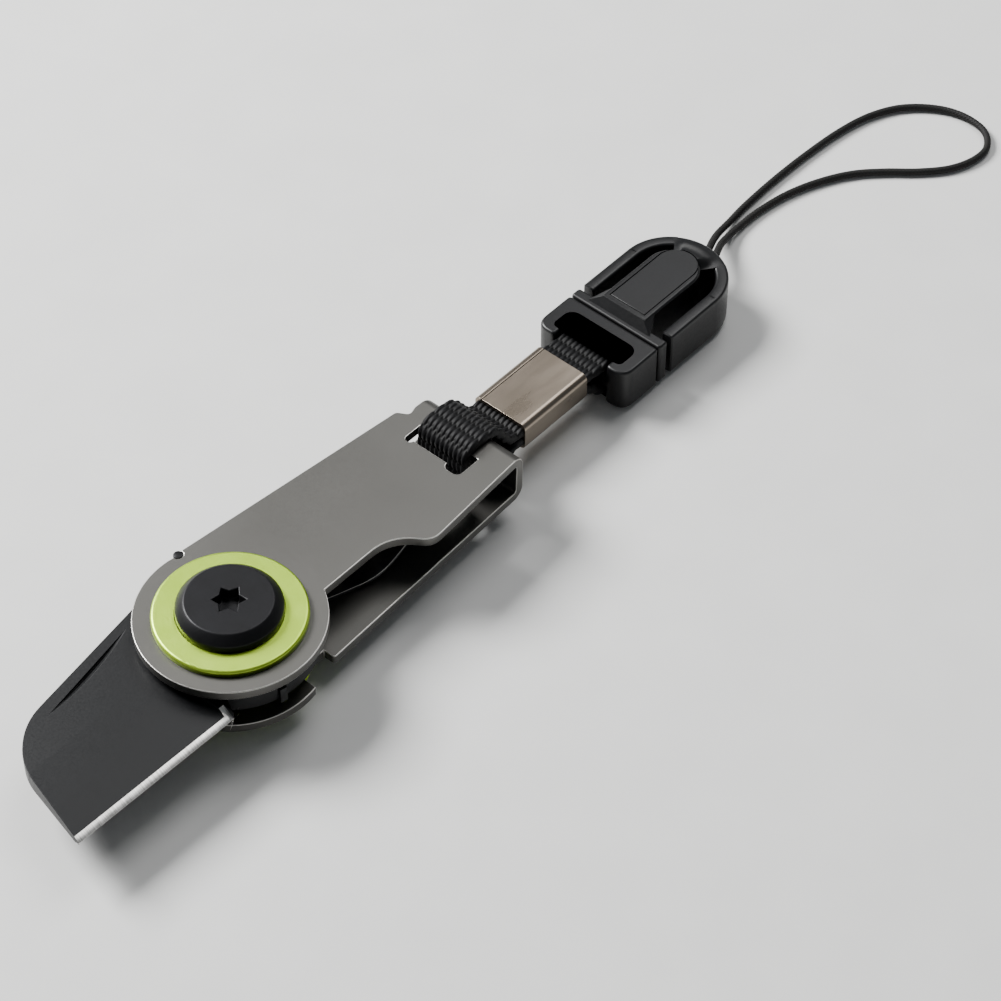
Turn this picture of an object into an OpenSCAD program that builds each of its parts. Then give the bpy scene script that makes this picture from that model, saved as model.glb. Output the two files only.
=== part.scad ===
// Keychain folding knife on a short webbing strap with a quick-release buckle and a wrist cord.
// Millimetres, +Z up. The origin is on the pivot axis, on the underside of the nut head.
// +X runs along the open handle towards the strap, +Y towards the back of the open blade.

/* [Handle] */
// Pivot axis to the outer face of the handle's end wall
handle_len = 32.7; // [31:0.1:40]
// Radius of the round pivot end of both plates
end_r = 9; // [8.8:0.1:10.8]
// Thickness of the folded handle sheet
sheet_t = 1; // [0.8:0.05:1.2]
// Outer radius of the two bends in the handle sheet
bend_r = 1.35; // [1.25:0.05:2]
// Distance from the pivot axis to the back of the plates, at the pivot end
back_near = 9; // [8.8:0.1:11]
// Distance from the pivot axis to the back of the plates, at the strap end
back_far = 6.1; // [5.8:0.1:7.4]
// Distance from the pivot axis to the belly of the plates, at the finger notch
belly_near = 7.65; // [7:0.1:9]
// Distance from the pivot axis to the belly of the plates, at the strap end
belly_far = 6.6; // [6:0.1:7.9]
// Depth of the finger notch in the upper plate
notch_depth = 3.4; // [2.6:0.1:4.2]
// Pivot axis to the strap side of the finger notch
notch_end = 18.9; // [16:0.1:22]

/* [Blade] */
// Pivot axis to the tip of the blade
blade_len = 25.6; // [21:0.1:26.4]
// Thickness of the blade
blade_t = 1.8; // [1.4:0.1:2.4]
// Radius of the round tang
tang_r = 8.2; // [7.6:0.1:8.3]
// Line of the cutting edge, below the pivot axis
edge_y = 7; // [5.8:0.1:7.4]
// Width of the sharpened bevel
bevel_w = 0.6; // [0.5:0.05:1.2]
// Thickness of the blade behind the sharpened bevel
bevel_t = 0.8; // [0.8:0.05:1.3]
// Depth of the nail nick
nick_depth = 0.4; // [0.2:0.05:0.6]
// Angle through which the blade folds
fold_angle = 174; // [170:1:175]

/* [Pivot] */
// Radius of the screw head and of the nut head
head_r = 5; // [4.4:0.1:6]
// Height of each head
head_h = 1.85; // [1.4:0.05:2.4]
// Chamfer on the rim of each head
head_chamfer = 0.85; // [0.4:0.05:1]
// Outer radius of the nut's barrel, on which the blade turns
barrel_r = 2.5; // [2.2:0.05:3]
// Radius of the screw's shank
shank_r = 1.5; // [1.2:0.05:1.8]
// Point-to-point radius of the six-lobed drive recess
drive_r = 1.6; // [1.3:0.05:2]
// Depth of the drive recess
drive_depth = 1.2; // [0.8:0.05:1.3]
// Outer radius of the anodised washers
washer_r = 7.25; // [6.4:0.05:8.6]
// Thickness of the anodised washers
washer_t = 0.7; // [0.6:0.05:1.2]
// Depth of the seat in each anodised washer
seat_depth = 0.25; // [0.1:0.05:0.3]
// Outer radius of the bearing washers
bearing_r = 7.25; // [6:0.05:8]
// Thickness of the bearing washers
bearing_t = 0.7; // [0.4:0.05:1]
// Radius of the stop pin
pin_r = 0.48; // [0.4:0.01:0.5]
// Thickness of the leaf spring
leaf_t = 0.4; // [0.3:0.05:0.5]
// Height to which the free end of the leaf spring rises
leaf_rise = 1.3; // [0.8:0.1:1.6]

/* [Strap] */
// Width of the webbing
web_w = 6.2; // [5:0.1:6.2]
// Thickness of the webbing
web_t = 1.1; // [0.8:0.05:1.2]
// Width of the bar between the strap slot and the end wall's outer face
end_bar = 3.4; // [2.6:0.1:3.6]
// Length of the crimped clip
clip_len = 9.25; // [7.7:0.05:9.3]
// Thickness of the clip's sheet
clip_t = 0.45; // [0.3:0.05:0.6]
// End wall to the near end of the clip
clip_gap = 4.1; // [3.9:0.1:5]
// Height of the clip's middle above the resting surface
strap_z = 4.4; // [4:0.1:5]
// Clip to the axis of the buckle's bar
bar_gap = 3.55; // [3.2:0.05:5]

/* [Buckle] */
// Half width of the buckle
buckle_half = 5.8; // [5.4:0.1:7]
// Thickness of the buckle's rim
rim_h = 5; // [4.6:0.1:6]
// How far the tongue stands proud of the rim, below
tongue_proud = 0.5; // [0.3:0.1:0.8]
// How far the tongue stands proud of the rim, above
tongue_rise = 0.9; // [0.5:0.1:1.2]
// Radius of the bar that carries the webbing
bar_r = 0.95; // [0.8:0.05:1.1]
// Bar's axis to the joint between the buckle's two halves
loop_len = 4.35; // [4.1:0.05:6]
// Length of the straight part of the housing
housing_len = 8.9; // [8.5:0.1:12]
// Thickness of the rim and of the release arms
rim_t = 1.35; // [1:0.05:1.6]
// Half width of the tongue
tongue_half = 2.85; // [2.6:0.05:3.1]
// Half width of the inset panel
panel_half = 2.2; // [1.8:0.05:2.3]
// Thickness of the inset panel
panel_t = 0.5; // [0.3:0.05:0.6]
// Diameter of the wrist cord
cord_d = 0.8; // [0.7:0.05:1]

/* [Fits] */
// Running clearance between the blade and a bearing washer
face_gap = 0.025; // [0.01:0.005:0.04]
// Radial running clearance of the blade on the barrel
bore_gap = 0.05; // [0.02:0.01:0.08]
// Radial clearance of fixed pieces on the barrel and of the screw in the nut
fixed_gap = 0.03; // [0.02:0.01:0.06]
// Clearance between the webbing and what it wraps
web_gap = 0.12; // [0.1:0.01:0.2]
// Radial clearance of the bar in the webbing loop
bar_clear = 0.08; // [0.03:0.01:0.1]
// Gap between the two halves of the buckle
seam_gap = 0.15; // [0.1:0.01:0.2]
// Clearance round the latch prong, the panel and the arm roots
fit_gap = 0.05; // [0.03:0.01:0.08]

/* [Hidden] */
$fn = 64;
eps = 0.01;
big = 60;

// Heights, stacked from the underside of the nut head
washer_lo_z = head_h - seat_depth;
plate_lo_z = washer_lo_z + washer_t;
leaf_z = plate_lo_z + sheet_t;
bearing_lo_z = leaf_z + leaf_t;
blade_z = bearing_lo_z + bearing_t + face_gap;
blade_mid = blade_z + blade_t / 2;
bearing_hi_z = blade_z + blade_t + face_gap;
plate_hi_z = bearing_hi_z + bearing_t;
washer_hi_z = plate_hi_z + sheet_t;
head_hi_z = washer_hi_z + washer_t - seat_depth;
total_h = head_hi_z + head_h;
handle_h = washer_hi_z - plate_lo_z;
handle_mid = plate_lo_z + handle_h / 2;

// Places along the strap, all on one centre line
strap_y = -0.1;
slot_room = 1.15;
slot_x1 = handle_len - end_bar;
slot_x0 = slot_x1 - web_t - slot_room;
slot_w = web_w + 0.9;
slot_y = strap_y - 0.3;
clip_x = handle_len + clip_gap;
clip_h = 2 * web_t + 2 * clip_t + 0.2;
clip_w = web_w + 0.3;
clip_seam = 0.06;
flex_x = clip_x - 1.5;
web_pair = 2 * web_t + 0.1;
bar_x = clip_x + clip_len + bar_gap;
web_loop_r = bar_r + bar_clear + web_t;
joint_x = bar_x + loop_len;
house_x = joint_x + seam_gap;
nose_x = house_x + housing_len;
rim_z = tongue_proud;
buckle_z = rim_z + rim_h / 2;
bar_z = buckle_z;
tongue_top = rim_z + rim_h + tongue_rise;
flange_len = 1.3;
arm_gap = 0.65;
channel_end = 36;
arm_x = house_x + flange_len + arm_gap;
arm_y = buckle_half - rim_t / 2;
prong_half = 1.6;
prong_h = 2;
prong_len = 7.4;
panel_x = house_x + flange_len + 0.6;
panel_len = nose_x - panel_x + 2.9;
knot_len = 3;
cord_wall = 3;
cord_exit_x = nose_x + buckle_half - cord_wall;
knot_x = cord_exit_x - knot_len;
knot_half = 1.5;
knot_h = 2.4;
cord_r = cord_d / 2;
cord_pair = 0.5;

// The stop pin sits in the corner where the plates' back meets their round end
pin_angle = 77;
pin_dist = end_r + 0.03;
pin_x = pin_dist * cos(pin_angle);
pin_y = pin_dist * sin(pin_angle);

// Outline points: [x, y, distance of the rounding from the corner]
function blend(a, b, t) = a + (b - a) * t;
function unit(v) = v / norm(v);
function xy(p) = [p[0], p[1]];
function corner(a, b, c, n) = b[2] == 0 ? [xy(b)] :
    let (p = xy(b) + unit(xy(a) - xy(b)) * b[2], q = xy(b) + unit(xy(c) - xy(b)) * b[2])
    [for (i = [0 : n]) let (t = i / n) blend(blend(p, xy(b), t), blend(xy(b), q, t), t)];
function rounded(points, n = 8) = [for (i = [0 : len(points) - 1])
    each corner(points[(i + len(points) - 1) % len(points)], points[i],
        points[(i + 1) % len(points)], n)];

lobe_x = handle_len - 0.8;
notch_y = notch_depth - belly_near;
relief_x0 = 1.7;
relief_x1 = 5.3;
relief_y = -6.4;
upper_plate_points = [
    [0, 0, 0], [pin_x + 0.2, back_near, 0], [lobe_x - 3.2, back_far, 0.3],
    [lobe_x - 2.5, back_far - 1.2, 0.4], [lobe_x - 1.5, back_far - 0.9, 0.3],
    [handle_len, back_far - 1, 1.3], [handle_len + 1, back_far - 2.2, 0],
    [handle_len + 1, -belly_far, 0], [notch_end, -belly_near, 1.2],
    [notch_end - 2.2, notch_y, 2.6], [end_r / 2, notch_y, 0]];
lower_plate_points = [
    [0, 0, 0], [pin_x + 0.2, back_near, 0], [lobe_x - 3.2, back_far, 0.3],
    [lobe_x - 2.5, back_far - 1.2, 0.4], [lobe_x - 1.5, back_far - 0.9, 0.3],
    [handle_len, back_far - 1, 1.3], [handle_len + 1, back_far - 2.2, 0],
    [handle_len + 1, -belly_far, 0], [relief_x1, -belly_near - 0.05, 0.4],
    [relief_x1, relief_y, 0.3], [relief_x0, relief_y, 0.3], [relief_x0, relief_y - 0.2, 0]];

// The channel that the sheet is folded into, seen from the belly side
module channel_profile(length, z0, h, r) {
    translate([-big, z0]) square([big + length - r, h]);
    translate([length - r - eps, z0 + r]) square([r + eps, h - 2 * r]);
    translate([length - r, z0 + r]) circle(r);
    translate([length - r, z0 + h - r]) circle(r);
}

module channel_solid(length, z0, h, r) {
    translate([0, big, 0]) rotate([90, 0, 0]) linear_extrude(2 * big)
        channel_profile(length, z0, h, r);
}

// The strap slot has a round relief at each inner corner, the lower one drawn out into an oval
module strap_slot() {
    lobe_r = 0.65;
    lobe_length = 1.9;
    small_lobe_r = 0.45;
    y0 = slot_y - slot_w / 2;
    translate([slot_x0, y0, 0]) square([slot_x1 - slot_x0, slot_w]);
    translate([slot_x0 - lobe_r, y0 + lobe_r]) square([2 * lobe_r, lobe_length - 2 * lobe_r]);
    translate([slot_x0, y0 + lobe_r]) circle(lobe_r);
    translate([slot_x0, y0 + lobe_length - lobe_r]) circle(lobe_r);
    translate([slot_x0, y0 + slot_w - small_lobe_r]) circle(small_lobe_r);
}

module pin_notch() {
    translate([pin_x, pin_y]) circle(pin_r + fixed_gap);
}

module handle_frame() {
    color("dimgray") difference() {
        intersection() {
            difference() {
                channel_solid(handle_len, plate_lo_z, handle_h, bend_r);
                channel_solid(handle_len - sheet_t, leaf_z, handle_h - 2 * sheet_t,
                    bend_r - sheet_t);
            }
            union() {
                translate([0, 0, handle_mid]) linear_extrude(handle_h) union() {
                    circle(end_r, $fn = 128);
                    polygon(rounded(upper_plate_points));
                }
                translate([0, 0, handle_mid - handle_h]) linear_extrude(handle_h)
                difference() {
                    union() {
                        circle(end_r, $fn = 128);
                        polygon(rounded(lower_plate_points));
                    }
                    translate([relief_x0, -end_r - 1])
                        square([relief_x1 - relief_x0, end_r + 1 + relief_y]);
                }
            }
        }
        translate([0, 0, plate_lo_z - 1]) cylinder(h = handle_h + 2, r = barrel_r + fixed_gap);
        translate([0, 0, plate_lo_z - 1]) linear_extrude(handle_h + 2) strap_slot();
        translate([0, 0, plate_lo_z - 1]) linear_extrude(handle_h + 2) pin_notch();
    }
}

// The blade lies open along -X with its edge on the belly side
shoulder_x = pin_x - pin_r - 0.03;
stop_angle = pin_angle - fold_angle - asin((pin_r + 0.05) / pin_dist);
heel_x = 6.9;
blade_points = [
    [0, 0, 0], [shoulder_x, 0, 0], [shoulder_x, end_r - 0.2, 0.15], [-2, end_r - 0.35, 0],
    [-4.6, end_r - 0.65, 0], [5.6 - blade_len, 6.05, 2.2], [2.2 - blade_len, 2.9, 2.2],
    [-blade_len, 0.3 - edge_y, 0.1], [-heel_x, -edge_y - 0.1, 0.1], [-6.1, -5.4, 0]];

module grind(side) {
    half = blade_t / 2;
    grind_x = bearing_r + 0.2;
    grind_y = 1.4;
    angle = atan((half - bevel_t / 2) / (grind_y + edge_y - bevel_w));
    translate([0, 0, blade_mid]) mirror([0, 0, side]) translate([-big - grind_x, grind_y, half])
        rotate([angle, 0, 0]) translate([0, -big, 0]) cube([big, big, big]);
}

module sharpened_bevel(side) {
    slope = atan(0.4 / (blade_len - heel_x));
    angle = atan(bevel_t / 2 / bevel_w);
    translate([-heel_x, -edge_y - 0.1, blade_mid]) rotate([0, 0, -slope]) mirror([0, 0, side])
        rotate([angle, 0, 0]) translate([-big + 0.01, -big, 0]) cube([big, 2 * big, 5]);
}

module nail_nick() {
    wheel_r = 45;
    translate([-12.3, 6.08, blade_z + blade_t + wheel_r - nick_depth]) rotate([0, 0, 10])
        rotate([90, 0, 0]) cylinder(h = 0.6, r1 = wheel_r, r2 = wheel_r - nick_depth, $fn = 256);
}

module blade() {
    color([0.16, 0.16, 0.17]) difference() {
        translate([0, 0, blade_z]) linear_extrude(blade_t) {
            circle(tang_r);
            polygon(rounded(blade_points));
            rotate([0, 0, stop_angle - 5]) intersection() {
                circle(end_r - 0.25);
                polygon([[0, 0], [12, 0], [12 * cos(5), 12 * sin(5)]]);
            }
        }
        for (side = [0, 1]) grind(side);
        for (side = [0, 1]) sharpened_bevel(side);
        nail_nick();
        translate([0, 0, blade_z - 1]) cylinder(h = blade_t + 2, r = barrel_r + bore_gap);
    }
}

module head() {
    rotate_extrude() polygon([[0, 0], [head_r - head_chamfer, 0], [head_r, head_chamfer],
        [head_r, head_h], [0, head_h]]);
}

module drive_star(r, h) {
    linear_extrude(h) polygon([for (i = [0 : 11]) let (a = 30 * i, d = i % 2 == 0 ? r : 0.62 * r)
        [d * cos(a), d * sin(a)]]);
}

module pivot_nut() {
    color([0.18, 0.18, 0.19]) difference() {
        union() {
            head();
            cylinder(h = head_hi_z - 0.1, r = barrel_r);
        }
        translate([0, 0, head_h]) cylinder(h = total_h, r = shank_r + fixed_gap);
    }
}

module pivot_screw() {
    color([0.18, 0.18, 0.19]) {
        difference() {
            translate([0, 0, total_h]) mirror([0, 0, 1]) head();
            translate([0, 0, total_h - drive_depth]) rotate([0, 0, 11.5])
                drive_star(drive_r, drive_depth + 1);
        }
        translate([0, 0, head_h + 0.4]) cylinder(h = head_hi_z - head_h, r = shank_r);
    }
}

module anodised_washer() {
    rim = 0.3;
    rotate_extrude($fn = 128) difference() {
        union() {
            translate([barrel_r + fixed_gap, 0])
                square([washer_r - rim - barrel_r - fixed_gap, washer_t]);
            translate([barrel_r + fixed_gap, 0])
                square([washer_r - barrel_r - fixed_gap, washer_t - rim]);
            translate([washer_r - rim, washer_t - rim]) circle(rim);
        }
        translate([0, washer_t - seat_depth]) square([head_r + 2 * fit_gap, washer_t]);
    }
}

module washer_upper() {
    color([0.72, 0.85, 0.3]) translate([0, 0, washer_hi_z]) anodised_washer();
}

module washer_lower() {
    color([0.72, 0.85, 0.3]) translate([0, 0, plate_lo_z]) mirror([0, 0, 1]) anodised_washer();
}

module bearing_washer(z) {
    translate([0, 0, z]) linear_extrude(bearing_t) difference() {
        circle(bearing_r, $fn = 128);
        circle(barrel_r + fixed_gap);
    }
}

module bearing_upper() {
    color([0.5, 0.6, 0.3]) bearing_washer(bearing_hi_z);
}

module bearing_lower() {
    color([0.5, 0.6, 0.3]) bearing_washer(bearing_lo_z);
}

module stop_pin() {
    color([0.1, 0.1, 0.1]) translate([pin_x, pin_y, plate_lo_z]) cylinder(h = handle_h, r = pin_r);
}

// A thin leaf held round the barrel; its tail rises towards the strap and shows in the notch
leaf_points = [
    [0, 4.4, 0], [23, 3.2, 1.5], [24.6, 0, 1.5], [23, -3.4, 2], [18.6, -4.3, 1], [14.6, -4.7, 2],
    [9.6, -2.4, 1.5], [5, -1.6, 0], [0, -3.4, 0]];

module leaf_spring() {
    rise0 = 10.6;
    rise1 = 19.4;
    ring_r = 5.4;
    color([0.2, 0.2, 0.2]) difference() {
        union() {
            translate([0, 0, leaf_z]) cylinder(h = leaf_t, r = ring_r);
            intersection() {
                translate([0, end_r, 0]) rotate([90, 0, 0]) linear_extrude(2 * end_r) polygon([
                    [-1, leaf_z], [rise0, leaf_z], [rise1, leaf_z + leaf_rise],
                    [30, leaf_z + leaf_rise], [30, bearing_lo_z + leaf_rise],
                    [rise1, bearing_lo_z + leaf_rise], [rise0, bearing_lo_z],
                    [-1, bearing_lo_z]]);
                translate([0, 0, leaf_z - 1]) linear_extrude(handle_h)
                    polygon(rounded(leaf_points));
            }
        }
        translate([0, 0, leaf_z - 1]) cylinder(h = handle_h, r = barrel_r + fixed_gap);
    }
}

// Webbing is drawn as its side profile and given its width
module across(width) {
    translate([0, strap_y + width / 2, 0]) rotate([90, 0, 0]) linear_extrude(width) children();
}

module webbing_anchor() {
    x0 = slot_x1 - web_gap - web_t;
    x1 = handle_len + web_gap + web_t;
    z0 = plate_lo_z - web_gap - web_t;
    z1 = washer_hi_z + web_gap + web_t;
    half = web_pair / 2;
    color([0.09, 0.09, 0.1]) across(web_w) difference() {
        polygon(rounded([[x0, z1, 2.2], [x1, z1, 1.8], [x1 + 0.15, strap_z + half, 0],
            [flex_x - 0.05, strap_z, 0], [x1 + 0.15, strap_z - half, 0], [x1, z0, 1],
            [x0, z0, 2.2]], 6));
        polygon(rounded([[x0 + web_t, z1 - web_t, 0.1], [x1 - web_t, z1 - web_t, 0.8],
            [x1 - web_t, z0 + web_t, 0.8], [x0 + web_t, z0 + web_t, 0.1]], 6));
    }
}

module bar_cylinder(length, r) {
    translate([bar_x, strap_y - length / 2, bar_z]) rotate([-90, 0, 0]) cylinder(h = length, r = r);
}

// The webbing is squeezed narrower inside the clip
module webbing_strap() {
    half = web_pair / 2;
    clip_end = clip_x + clip_len;
    color([0.09, 0.09, 0.1]) difference() {
        union() {
            across(web_w) polygon([[flex_x + 0.05, strap_z],
                [flex_x + 0.05 + half, strap_z + half], [clip_end + 0.4, strap_z + half],
                [bar_x, bar_z + web_loop_r - 0.02], [bar_x, bar_z - web_loop_r + 0.02],
                [clip_end + 0.4, strap_z - half], [flex_x + 0.05 + half, strap_z - half]]);
            bar_cylinder(web_w, web_loop_r);
        }
        bar_cylinder(web_w + 2, bar_r + bar_clear);
        for (side = [0, 1]) translate([clip_x - fit_gap, strap_y, strap_z - clip_h])
            mirror([0, side, 0]) translate([0, clip_w / 2 - clip_t - fit_gap, 0])
                cube([clip_len + 2 * fit_gap, clip_w, 2 * clip_h]);
    }
}

module rounded_bar(length, w, h, r) {
    rotate([90, 0, 90]) linear_extrude(length) {
        translate([-w / 2, r - h / 2]) square([w, h - 2 * r]);
        translate([r - w / 2, -h / 2]) square([w - 2 * r, h]);
        for (x = [r - w / 2, w / 2 - r], y = [r - h / 2, h / 2 - r]) translate([x, y]) circle(r);
    }
}

module strap_clip() {
    seam_y = strap_y + clip_w / 2 - 0.9;
    color([0.6, 0.56, 0.5]) difference() {
        translate([clip_x, strap_y, strap_z]) rounded_bar(clip_len, clip_w, clip_h, 0.7);
        translate([clip_x - 1, strap_y, strap_z])
            rounded_bar(clip_len + 2, clip_w - 2 * clip_t, clip_h - 2 * clip_t, 0.25);
        translate([clip_x - 1, seam_y, strap_z]) cube([clip_len + 2, clip_seam, clip_h]);
    }
}

// Strap half of the buckle: a frame open towards the strap, closed by a round bar
module buckle_loop() {
    front = bar_x - 0.5;
    slot_half = web_w / 2 + 1;
    slot_end = bar_x + web_loop_r + 0.5;
    hook_end = front + 0.8;
    hook_y = web_w / 2 + 0.25;
    color([0.11, 0.11, 0.12]) {
        difference() {
            translate([0, strap_y, rim_z]) linear_extrude(rim_h) polygon(rounded([
                [joint_x, buckle_half, 0], [front, buckle_half, 2.4], [front, slot_half - 1.5, 0],
                [front, -slot_half + 1.5, 0], [front, -buckle_half, 2.4], [joint_x, -buckle_half, 0]]));
            translate([0, strap_y, rim_z - 1]) linear_extrude(rim_h + 2) polygon(rounded([
                [front - 1, hook_y, 0], [hook_end, hook_y, 0.2], [hook_end, slot_half, 0.2],
                [slot_end, slot_half, 1], [slot_end, -slot_half, 1],
                [hook_end, -slot_half, 0.2], [hook_end, -hook_y, 0.2], [front - 1, -hook_y, 0]]));
        }
        bar_cylinder(2 * slot_half + 1, bar_r);
        translate([joint_x - eps, strap_y - prong_half, buckle_z - prong_h / 2])
            cube([prong_len + eps, 2 * prong_half, prong_h]);
    }
}

module tongue_side_profile() {
    ramp_x = house_x + 0.5;
    polygon([[ramp_x, rim_z], [ramp_x, rim_z + rim_h], [panel_x - 0.2, tongue_top],
        [nose_x + 3.2, tongue_top], [nose_x + 5, rim_z + rim_h], [nose_x + 5, rim_z],
        [nose_x + 3.2, 0], [panel_x, 0]]);
}

module panel_outline(grow) {
    half = panel_half + grow;
    translate([panel_x - grow, -half]) square([panel_len - panel_half + grow, 2 * half]);
    translate([panel_x + panel_len - panel_half, 0]) circle(half);
}

// Cord half of the buckle: flange, tongue and the nose part of the rim
module buckle_housing() {
    inner_r = buckle_half - rim_t;
    color([0.11, 0.11, 0.12]) difference() {
        union() {
            translate([house_x, strap_y - buckle_half, rim_z])
                cube([flange_len, 2 * buckle_half, rim_h]);
            translate([0, strap_y, rim_z]) linear_extrude(rim_h) {
                difference() {
                    translate([nose_x, 0]) circle(buckle_half, $fn = 96);
                    translate([nose_x - big, -big]) square([big, 2 * big]);
                }
                polygon([[house_x + flange_len - eps, tongue_half + 0.9],
                    [house_x + flange_len + 1.8, tongue_half],
                    [house_x + flange_len + 1.8, -tongue_half],
                    [house_x + flange_len - eps, -tongue_half - 0.9]]);
            }
            translate([0, strap_y + tongue_half, 0]) rotate([90, 0, 0])
                linear_extrude(2 * tongue_half) tongue_side_profile();
        }
        // the side channels run on round the tongue's arched end
        translate([nose_x, strap_y, -1]) linear_extrude(tongue_top + 2) difference() {
            circle(inner_r, $fn = 96);
            circle(tongue_half);
            translate([-big, -big]) square([big, 2 * big]);
            polygon([[0, 0], [big, -big * tan(channel_end)], [big, big * tan(channel_end)]]);
        }
        // sockets for the arm roots
        for (side = [-1, 1]) translate([nose_x, strap_y + side * arm_y, -1])
            cylinder(h = rim_h + 4, r = rim_t / 2 + fit_gap);
        // latch cavity, knot chamber and cord holes
        translate([house_x - 1, strap_y - prong_half - fit_gap, buckle_z - prong_h / 2 - fit_gap])
            cube([prong_len + 1.4, 2 * (prong_half + fit_gap), prong_h + 2 * fit_gap]);
        translate([knot_x, strap_y - knot_half, buckle_z - knot_h / 2])
            cube([knot_len, 2 * knot_half, knot_h]);
        for (side = [-1, 1])
            translate([cord_exit_x - 0.1, strap_y + side * cord_pair, buckle_z])
                rotate([0, 90, 0]) cylinder(h = 10, r = cord_r + fit_gap);
        // recess for the panel
        translate([0, strap_y, tongue_top - panel_t]) linear_extrude(1) panel_outline(fit_gap);
    }
}

module release_arm(side) {
    length = nose_x - arm_x;
    color([0.11, 0.11, 0.12]) translate([nose_x, strap_y + side * arm_y, rim_z]) {
        cylinder(h = rim_h, r = rim_t / 2);
        translate([-length, -rim_t / 2, 0]) cube([length, rim_t, rim_h]);
    }
}

module release_arm_left() {
    release_arm(1);
}

module release_arm_right() {
    release_arm(-1);
}

module buckle_panel() {
    color([0.13, 0.13, 0.14]) translate([0, strap_y, tongue_top - panel_t])
        linear_extrude(panel_t) panel_outline(0);
}

module cord_knot() {
    color([0.09, 0.09, 0.1]) translate([knot_x + fit_gap, strap_y - knot_half + fit_gap,
        buckle_z - knot_h / 2 + fit_gap])
        cube([knot_len - fit_gap, 2 * (knot_half - fit_gap), knot_h - 2 * fit_gap]);
}

// Wrist cord: out of the nose, down to the resting surface, round, and back into the nose.
// Each point: [distance beyond the knot, distance from the centre line, share of exit height]
cord_route = [
    [0, cord_pair, 1], [2.8, cord_pair, 1], [4.2, 0.9, 0.96], [5.6, 1.6, 0.8], [7.2, 2.4, 0.52],
    [9, 3.1, 0.24], [11.4, 3.6, 0.04], [14.6, 4, 0], [19.8, 4.2, 0], [25.4, 4.1, 0],
    [30.6, 3.7, 0], [34.8, 2.8, 0], [38.2, 1, 0], [40.6, -1.9, 0], [41.5, -4.9, 0],
    [41, -7.9, 0], [39, -9.7, 0], [36.4, -9.8, 0], [33.6, -8.7, 0], [31, -6.5, 0],
    [28.6, -3.8, 0], [26, -1.4, 0], [22.6, 0.5, 0], [18.8, 1.8, 0], [14.8, 2.4, 0],
    [11.4, 2.4, 0.04], [9, 2, 0.24], [7.2, 1.4, 0.52], [5.6, 0.6, 0.8], [4.2, -0.1, 0.96],
    [2.8, -cord_pair, 1], [0, -cord_pair, 1]];
cord_steps = 2;
cord_rest_z = cord_r + 0.1;

function on_route(p) = [cord_exit_x + p[0], strap_y + p[1], blend(cord_rest_z, buckle_z, p[2])];
function route_point(i) = on_route(cord_route[min(max(i, 0), len(cord_route) - 1)]);
function spline(a, b, c, d, t) = b + (c - a) * t / 2 + (2 * a - 5 * b + 4 * c - d) * t * t / 2
    + (3 * b - a - 3 * c + d) * t * t * t / 2;
function cord_points() = [for (i = [0 : len(cord_route) - 2], k = [0 : cord_steps - 1])
    spline(route_point(i - 1), route_point(i), route_point(i + 1), route_point(i + 2),
        k / cord_steps), route_point(len(cord_route) - 1)];
function ring(p, dir, r, sides) = let (s = unit(cross([0, 0, 1], dir)), u = cross(dir, s))
    [for (k = [0 : sides - 1]) p + r * (s * cos(360 * k / sides) + u * sin(360 * k / sides))];

module tube(points, r, sides) {
    last = len(points) - 1;
    verts = [for (i = [0 : last]) each ring(points[i],
        unit(points[min(i + 1, last)] - points[max(i - 1, 0)]), r, sides)];
    walls = [for (i = [0 : last - 1], k = [0 : sides - 1]) let (m = (k + 1) % sides)
        [i * sides + k, i * sides + m, (i + 1) * sides + m, (i + 1) * sides + k]];
    polyhedron(verts, concat([[for (k = [sides - 1 : -1 : 0]) k]], walls,
        [[for (k = [0 : sides - 1]) last * sides + k]]));
}

module wrist_cord() {
    color([0.08, 0.08, 0.09]) tube(cord_points(), cord_r, 8);
}

handle_frame();
blade();
pivot_screw();
pivot_nut();
washer_upper();
washer_lower();
bearing_upper();
bearing_lower();
stop_pin();
leaf_spring();
webbing_anchor();
webbing_strap();
strap_clip();
buckle_loop();
buckle_housing();
release_arm_left();
release_arm_right();
buckle_panel();
wrist_cord();
cord_knot();
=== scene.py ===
# %% [markdown]
# # A keychain folding knife on a webbing strap
#
# The knife is an assembly: a folded steel handle, a blade on a big screw, a woven strap, a crimped
# clip, a small plastic buckle and a loop of thin cord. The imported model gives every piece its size
# and place. The hard pieces are kept and given finishes and softened edges. The buckle is moulded
# anew, the webbing is woven and the cord is braided, each in the place the model gives it.

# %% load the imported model
import math

import bmesh
import bpy
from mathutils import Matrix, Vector


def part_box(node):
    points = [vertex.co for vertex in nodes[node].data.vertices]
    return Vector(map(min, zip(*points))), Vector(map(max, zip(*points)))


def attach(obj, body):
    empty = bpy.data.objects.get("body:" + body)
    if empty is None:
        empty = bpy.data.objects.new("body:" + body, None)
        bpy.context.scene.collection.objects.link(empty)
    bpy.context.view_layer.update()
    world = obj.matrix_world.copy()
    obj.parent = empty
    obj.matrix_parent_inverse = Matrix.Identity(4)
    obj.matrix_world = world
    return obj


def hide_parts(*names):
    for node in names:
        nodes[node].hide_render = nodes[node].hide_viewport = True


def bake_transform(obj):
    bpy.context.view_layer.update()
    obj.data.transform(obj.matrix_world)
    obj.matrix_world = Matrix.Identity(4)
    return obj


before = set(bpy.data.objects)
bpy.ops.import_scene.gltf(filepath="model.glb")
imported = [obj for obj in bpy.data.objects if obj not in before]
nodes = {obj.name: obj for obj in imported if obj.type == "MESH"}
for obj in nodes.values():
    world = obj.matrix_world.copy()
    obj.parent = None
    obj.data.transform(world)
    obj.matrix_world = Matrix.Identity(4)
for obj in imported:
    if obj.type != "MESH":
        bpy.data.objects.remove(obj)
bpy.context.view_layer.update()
MM = 0.001

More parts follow.
